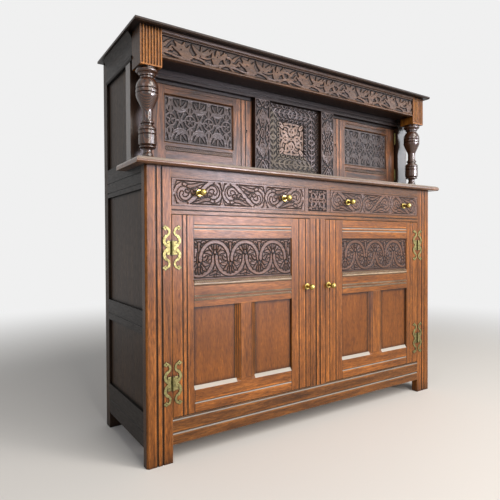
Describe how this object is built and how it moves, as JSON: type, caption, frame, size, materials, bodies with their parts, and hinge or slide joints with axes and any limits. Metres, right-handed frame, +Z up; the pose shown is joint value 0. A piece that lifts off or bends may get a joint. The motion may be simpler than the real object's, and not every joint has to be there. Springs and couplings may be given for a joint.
{
  "type": "court cupboard",
  "caption": "Carved oak court cupboard: doors and drawers below a waist board, a set-back upper cupboard under an overhanging frieze on turned columns.",
  "frame": {"origin": "on the floor, under the middle of the bounding box", "axes": "+X to the right as the front is faced, +Y to the back, +Z up"},
  "size_m": [1.364, 0.437, 1.293],
  "materials": {
    "oak_front": "waxed oak, warm mid brown",
    "oak_carved": "waxed carved oak, dark in the cut ground",
    "oak_dark": "waxed oak, dark brown",
    "oak_turned": "polished turned oak, dark brown",
    "oak_inner": "bare oak, dry and unpolished",
    "brass_old": "aged brass",
    "iron": "dark iron lock bolt"
  },
  "bodies": {
    "carcase": {"front_post_left": "oak_front", "front_post_right": "oak_front", "back_frame": "oak_inner", "bottom_front_rail": "oak_front", "middle_front_rail": "oak_front", "top_front_rail": "oak_front", "drawer_divider": "oak_carved", "door_muntin": "oak_front", "side_rails": "oak_dark", "side_panels": "oak_dark", "lower_back_boards": "oak_inner", "cupboard_floor": "oak_inner", "drawer_runners": "oak_inner", "waist_board": "oak_front", "upper_corner_posts": "oak_front", "upper_side_rails": "oak_dark", "upper_side_panels": "oak_dark", "upper_back_boards": "oak_inner", "upper_front_frame": "oak_dark", "pilasters": "oak_carved", "centre_frame": "oak_carved", "centre_panel": "oak_carved", "column_left": "oak_turned", "column_right": "oak_turned", "column_blocks": "oak_carved", "frieze_rail": "oak_carved", "soffit_board": "oak_dark", "top_board": "oak_dark", "post_hinge_leaves": "brass_old", "hinge_pins": "brass_old"},
    "lower_left_door": {"lower_left_door_frame": "oak_front", "lower_left_carved_panel": "oak_carved", "lower_left_plain_panels": "oak_front", "lower_left_hinge_leaves": "brass_old", "lower_left_knob": "brass_old", "lower_left_lock_case": "brass_old"},
    "lower_left_bolt": {"lower_left_lock_bolt": "iron"},
    "upper_left_door": {"upper_left_door_frame": "oak_front", "upper_left_carved_panel": "oak_carved", "upper_left_hinge_leaves": "brass_old", "upper_left_lock_case": "brass_old"},
    "upper_left_bolt": {"upper_left_lock_bolt": "iron"},
    "left_drawer": {"left_drawer_front": "oak_carved", "left_drawer_box": "oak_inner", "left_drawer_knobs": "brass_old"},
    "lower_right_door": {"lower_right_door_frame": "oak_front", "lower_right_carved_panel": "oak_carved", "lower_right_plain_panels": "oak_front", "lower_right_hinge_leaves": "brass_old", "lower_right_knob": "brass_old", "lower_right_lock_case": "brass_old"},
    "lower_right_bolt": {"lower_right_lock_bolt": "iron"},
    "upper_right_door": {"upper_right_door_frame": "oak_front", "upper_right_carved_panel": "oak_carved", "upper_right_hinge_leaves": "brass_old", "upper_right_lock_case": "brass_old"},
    "upper_right_bolt": {"upper_right_lock_bolt": "iron"},
    "right_drawer": {"right_drawer_front": "oak_carved", "right_drawer_box": "oak_inner", "right_drawer_knobs": "brass_old"}
  },
  "joints": [
    {"name": "lower_left_door_hinge", "type": "hinge", "parent": "carcase", "child": "lower_left_door", "pos_m": [-0.569, -0.187, 0.436], "axis": [0, 0, -1], "range_deg": [0, 170]},
    {"name": "lower_left_bolt_slide", "type": "slide", "parent": "lower_left_door", "child": "lower_left_bolt", "axis": [1, 0, 0], "range_m": [0, 0.009]},
    {"name": "upper_left_door_hinge", "type": "hinge", "parent": "carcase", "child": "upper_left_door", "pos_m": [-0.5875, -0.049, 1.0385], "axis": [0, 0, -1], "range_deg": [0, 85]},
    {"name": "upper_left_bolt_slide", "type": "slide", "parent": "upper_left_door", "child": "upper_left_bolt", "axis": [1, 0, 0], "range_m": [0, 0.009]},
    {"name": "left_drawer_slide", "type": "slide", "parent": "carcase", "child": "left_drawer", "axis": [0, -1, 0], "range_m": [0, 0.26]},
    {"name": "lower_right_door_hinge", "type": "hinge", "parent": "carcase", "child": "lower_right_door", "pos_m": [0.569, -0.187, 0.436], "axis": [0, 0, 1], "range_deg": [0, 170]},
    {"name": "lower_right_bolt_slide", "type": "slide", "parent": "lower_right_door", "child": "lower_right_bolt", "axis": [-1, 0, 0], "range_m": [0, 0.009]},
    {"name": "upper_right_door_hinge", "type": "hinge", "parent": "carcase", "child": "upper_right_door", "pos_m": [0.5875, -0.049, 1.0385], "axis": [0, 0, 1], "range_deg": [0, 85]},
    {"name": "upper_right_bolt_slide", "type": "slide", "parent": "upper_right_door", "child": "upper_right_bolt", "axis": [-1, 0, 0], "range_m": [0, 0.009]},
    {"name": "right_drawer_slide", "type": "slide", "parent": "carcase", "child": "right_drawer", "axis": [0, -1, 0], "range_m": [0, 0.26]}
  ]
}
